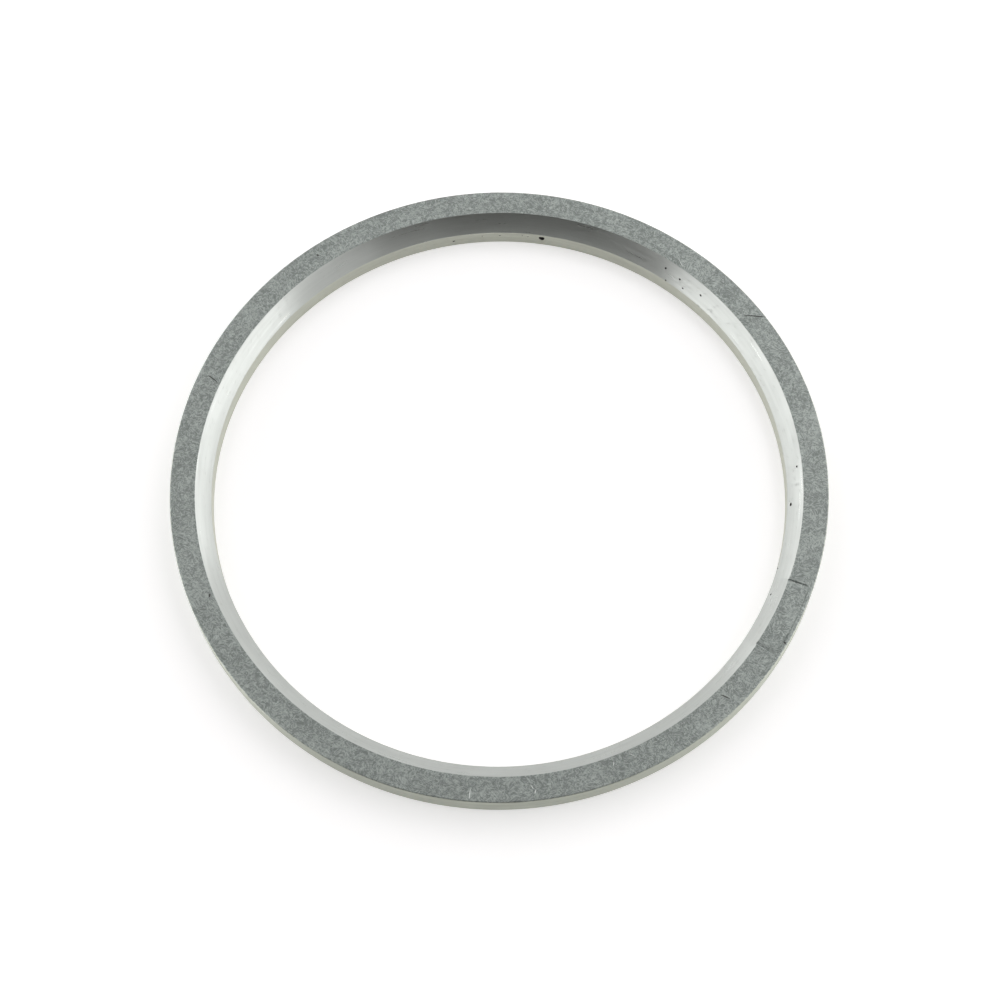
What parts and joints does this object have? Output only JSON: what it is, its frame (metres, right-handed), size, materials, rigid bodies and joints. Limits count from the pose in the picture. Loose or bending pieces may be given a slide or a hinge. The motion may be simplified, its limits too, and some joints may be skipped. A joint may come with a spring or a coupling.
{
  "type": "brake rotor register adapter",
  "caption": "Flat aluminium adapter ring that centres a brake rotor on a smaller hub register, with a straight bore, an inner cone and a chamfered foot.",
  "frame": {"origin": "centre of the ring's bottom face, the end with the lead-in chamfer", "axes": "+Z along the axis of the bore, towards the face that the cone opens into"},
  "size_m": [0.0706, 0.0706, 0.004],
  "materials": {
    "aluminium": "cast and tumbled faces, fine turned bore, cone and outer wall"
  },
  "bodies": {
    "root": {"register_ring": "aluminium"}
  },
  "joints": []
}
